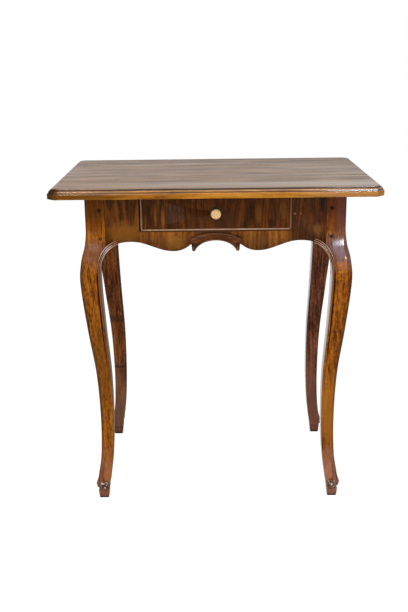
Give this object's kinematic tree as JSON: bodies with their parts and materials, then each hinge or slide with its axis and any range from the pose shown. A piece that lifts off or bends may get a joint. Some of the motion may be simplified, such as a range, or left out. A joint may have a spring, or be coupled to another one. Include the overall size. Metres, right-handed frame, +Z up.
{
  "type": "side table",
  "caption": "Walnut side table with a moulded overhanging top, cabriole legs on scroll toes, scalloped aprons and a sliding dovetailed drawer.",
  "frame": {"origin": "on the floor, under the middle of the table top", "axes": "+Z up, +X along the front to the right of someone who faces the drawer, +Y from the drawer front to the back"},
  "size_m": [0.7256, 0.5148, 0.76],
  "materials": {
    "top_walnut": "waxed and polished",
    "leg_walnut": "french polished",
    "apron_walnut": "french polished",
    "carving_walnut": "french polished",
    "drawer_walnut": "french polished",
    "bead_walnut": "french polished",
    "inside_oak": "planed, unpolished",
    "peg_dark": "dark end grain",
    "knob_boxwood": "turned and polished",
    "backplate_ebonised": "ebonised and polished",
    "screw_steel": "dull"
  },
  "bodies": {
    "table": {"top_board_front": "top_walnut", "top_board_middle": "top_walnut", "top_board_back": "top_walnut", "leg_front_left": "leg_walnut", "leg_front_right": "leg_walnut", "leg_back_left": "leg_walnut", "leg_back_right": "leg_walnut", "front_stile_left": "apron_walnut", "front_stile_right": "apron_walnut", "front_rail": "apron_walnut", "apron_carving": "carving_walnut", "apron_left": "apron_walnut", "apron_right": "apron_walnut", "apron_back": "apron_walnut", "drawer_runner_left": "inside_oak", "drawer_runner_right": "inside_oak", "drawer_guide_left": "inside_oak", "drawer_guide_right": "inside_oak", "drawer_kicker_left": "inside_oak", "drawer_kicker_right": "inside_oak", "drawer_stop_left": "inside_oak", "drawer_stop_right": "inside_oak", "glue_block_left_front": "inside_oak", "glue_block_left_back": "inside_oak", "glue_block_right_front": "inside_oak", "glue_block_right_back": "inside_oak", "glue_block_back_left": "inside_oak", "glue_block_back_right": "inside_oak", "glue_block_front_left": "inside_oak", "glue_block_front_right": "inside_oak", "peg_front_left_upper": "peg_dark", "peg_front_left_lower": "peg_dark", "peg_front_right_upper": "peg_dark", "peg_front_right_lower": "peg_dark", "peg_right_front_upper": "peg_dark", "peg_right_front_lower": "peg_dark", "peg_right_back_upper": "peg_dark", "peg_right_back_lower": "peg_dark", "peg_back_right_upper": "peg_dark", "peg_back_right_lower": "peg_dark", "peg_back_left_upper": "peg_dark", "peg_back_left_lower": "peg_dark", "peg_left_back_upper": "peg_dark", "peg_left_back_lower": "peg_dark", "peg_left_front_upper": "peg_dark", "peg_left_front_lower": "peg_dark"},
    "drawer": {"drawer_front": "drawer_walnut", "drawer_side_left": "inside_oak", "drawer_side_right": "inside_oak", "drawer_back": "inside_oak", "drawer_bottom": "inside_oak", "drawer_bead_top": "bead_walnut", "drawer_bead_bottom": "bead_walnut", "drawer_bead_left": "bead_walnut", "drawer_bead_right": "bead_walnut", "knob": "knob_boxwood", "knob_backplate": "backplate_ebonised", "knob_screw": "screw_steel"}
  },
  "joints": [
    {"name": "drawer_slide", "type": "slide", "parent": "table", "child": "drawer", "axis": [0, -1, 0], "range_m": [0, 0.26]}
  ]
}
